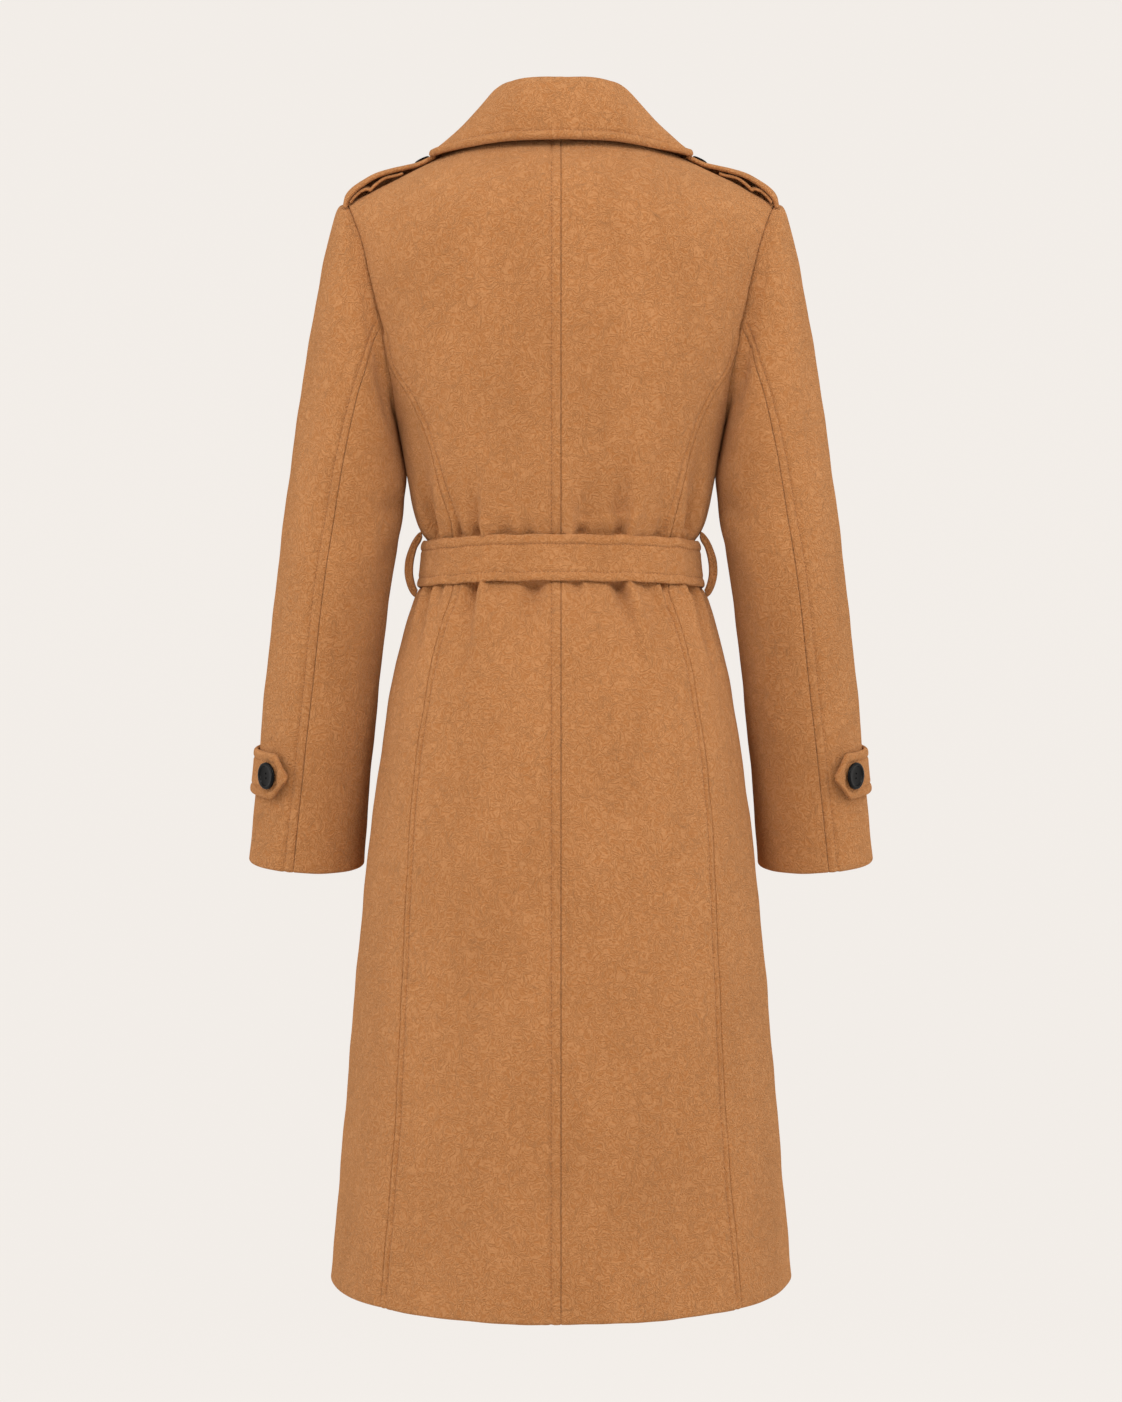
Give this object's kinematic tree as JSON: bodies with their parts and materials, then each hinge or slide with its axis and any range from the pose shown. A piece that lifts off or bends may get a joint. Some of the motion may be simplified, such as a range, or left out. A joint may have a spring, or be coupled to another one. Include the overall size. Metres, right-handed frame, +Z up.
{
  "type": "trench coat",
  "caption": "Belted wool trench coat, filled out as worn, with a turn-down collar, shoulder straps, sleeve tabs and a flared skirt.",
  "frame": {"origin": "middle of the neck opening, level with the neck ends of the shoulder seams", "axes": "+Z up, the coat's back faces +Y and its front -Y, the wearer's left is +X"},
  "size_m": [0.5862, 0.3402, 1.1111],
  "materials": {
    "wool": "short brushed nap, matte",
    "black_plastic": "polished"
  },
  "bodies": {
    "root": {"back_left": "wool", "back_right": "wool", "side_back_left": "wool", "side_back_right": "wool", "front_left": "wool", "front_right": "wool", "lapel_left": "wool", "lapel_right": "wool", "sleeve_top_left": "wool", "sleeve_top_right": "wool", "sleeve_under_left": "wool", "sleeve_under_right": "wool", "collar": "wool", "epaulette_left": "wool", "epaulette_right": "wool", "epaulette_lower_ply_left": "wool", "epaulette_lower_ply_right": "wool", "sleeve_tab_left": "wool", "sleeve_tab_right": "wool", "belt": "wool", "belt_loop_left": "wool", "belt_loop_right": "wool", "sleeve_tab_button_left": "black_plastic", "sleeve_tab_button_right": "black_plastic", "epaulette_button_left": "black_plastic", "epaulette_button_right": "black_plastic", "front_button_left_1": "black_plastic", "front_button_left_2": "black_plastic", "front_button_right_1": "black_plastic", "front_button_right_2": "black_plastic", "belt_buckle": "black_plastic"}
  },
  "joints": []
}
